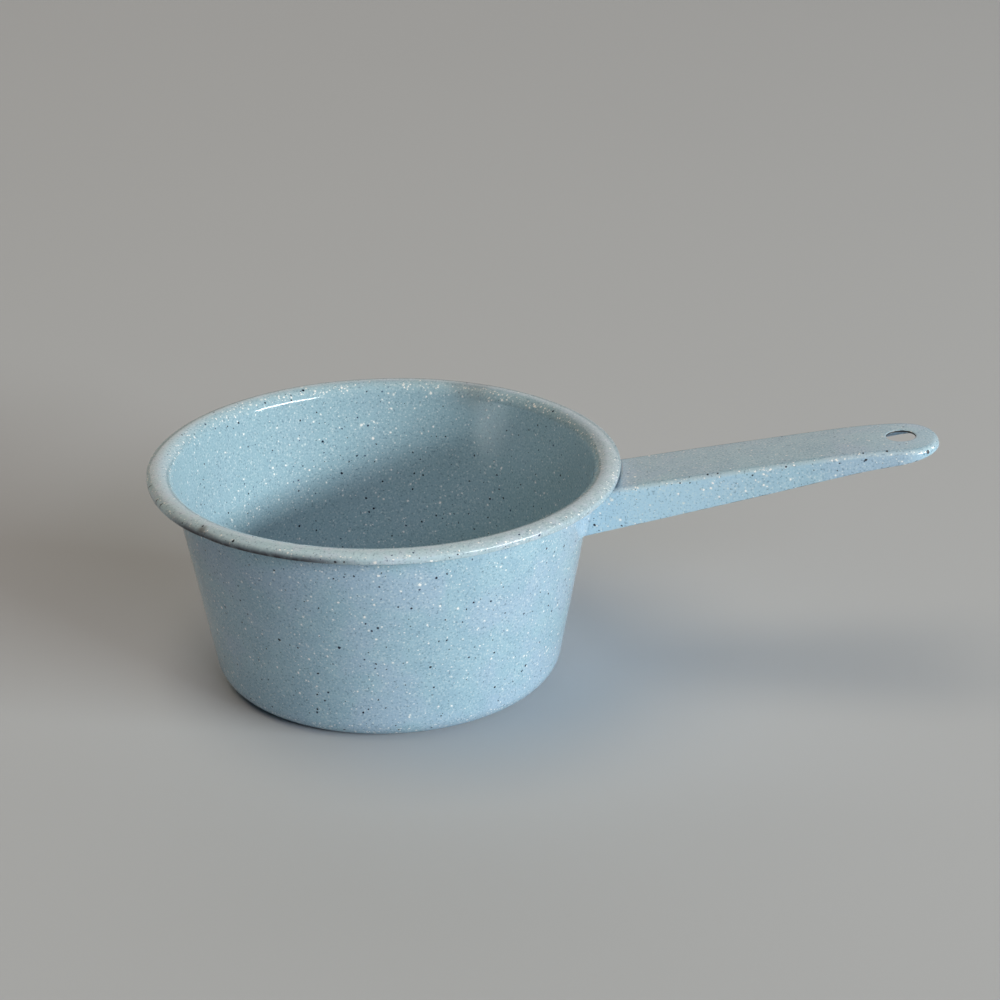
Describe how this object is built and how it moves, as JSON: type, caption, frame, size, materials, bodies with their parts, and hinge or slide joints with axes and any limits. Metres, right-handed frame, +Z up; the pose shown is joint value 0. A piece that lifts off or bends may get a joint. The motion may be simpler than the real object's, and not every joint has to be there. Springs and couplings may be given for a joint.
{
  "type": "saucepan",
  "caption": "Round speckled enamel saucepan with tapered wall, rolled lip, flat base and a pressed steel channel handle with a hang hole.",
  "frame": {"origin": "centre of the flat base, on the plane that it rests on", "axes": "+X from the bowl's axis towards the handle's tip, +Z up out of the bowl's mouth, the object is symmetric about the plane Y = 0"},
  "size_m": [0.3153, 0.19, 0.1041],
  "materials": {
    "speckled_enamel": "glossy pale blue vitreous enamel with fine white and dark specks"
  },
  "bodies": {
    "root": {"bowl": "speckled_enamel", "handle": "speckled_enamel", "handle_weld": "speckled_enamel"}
  },
  "joints": []
}
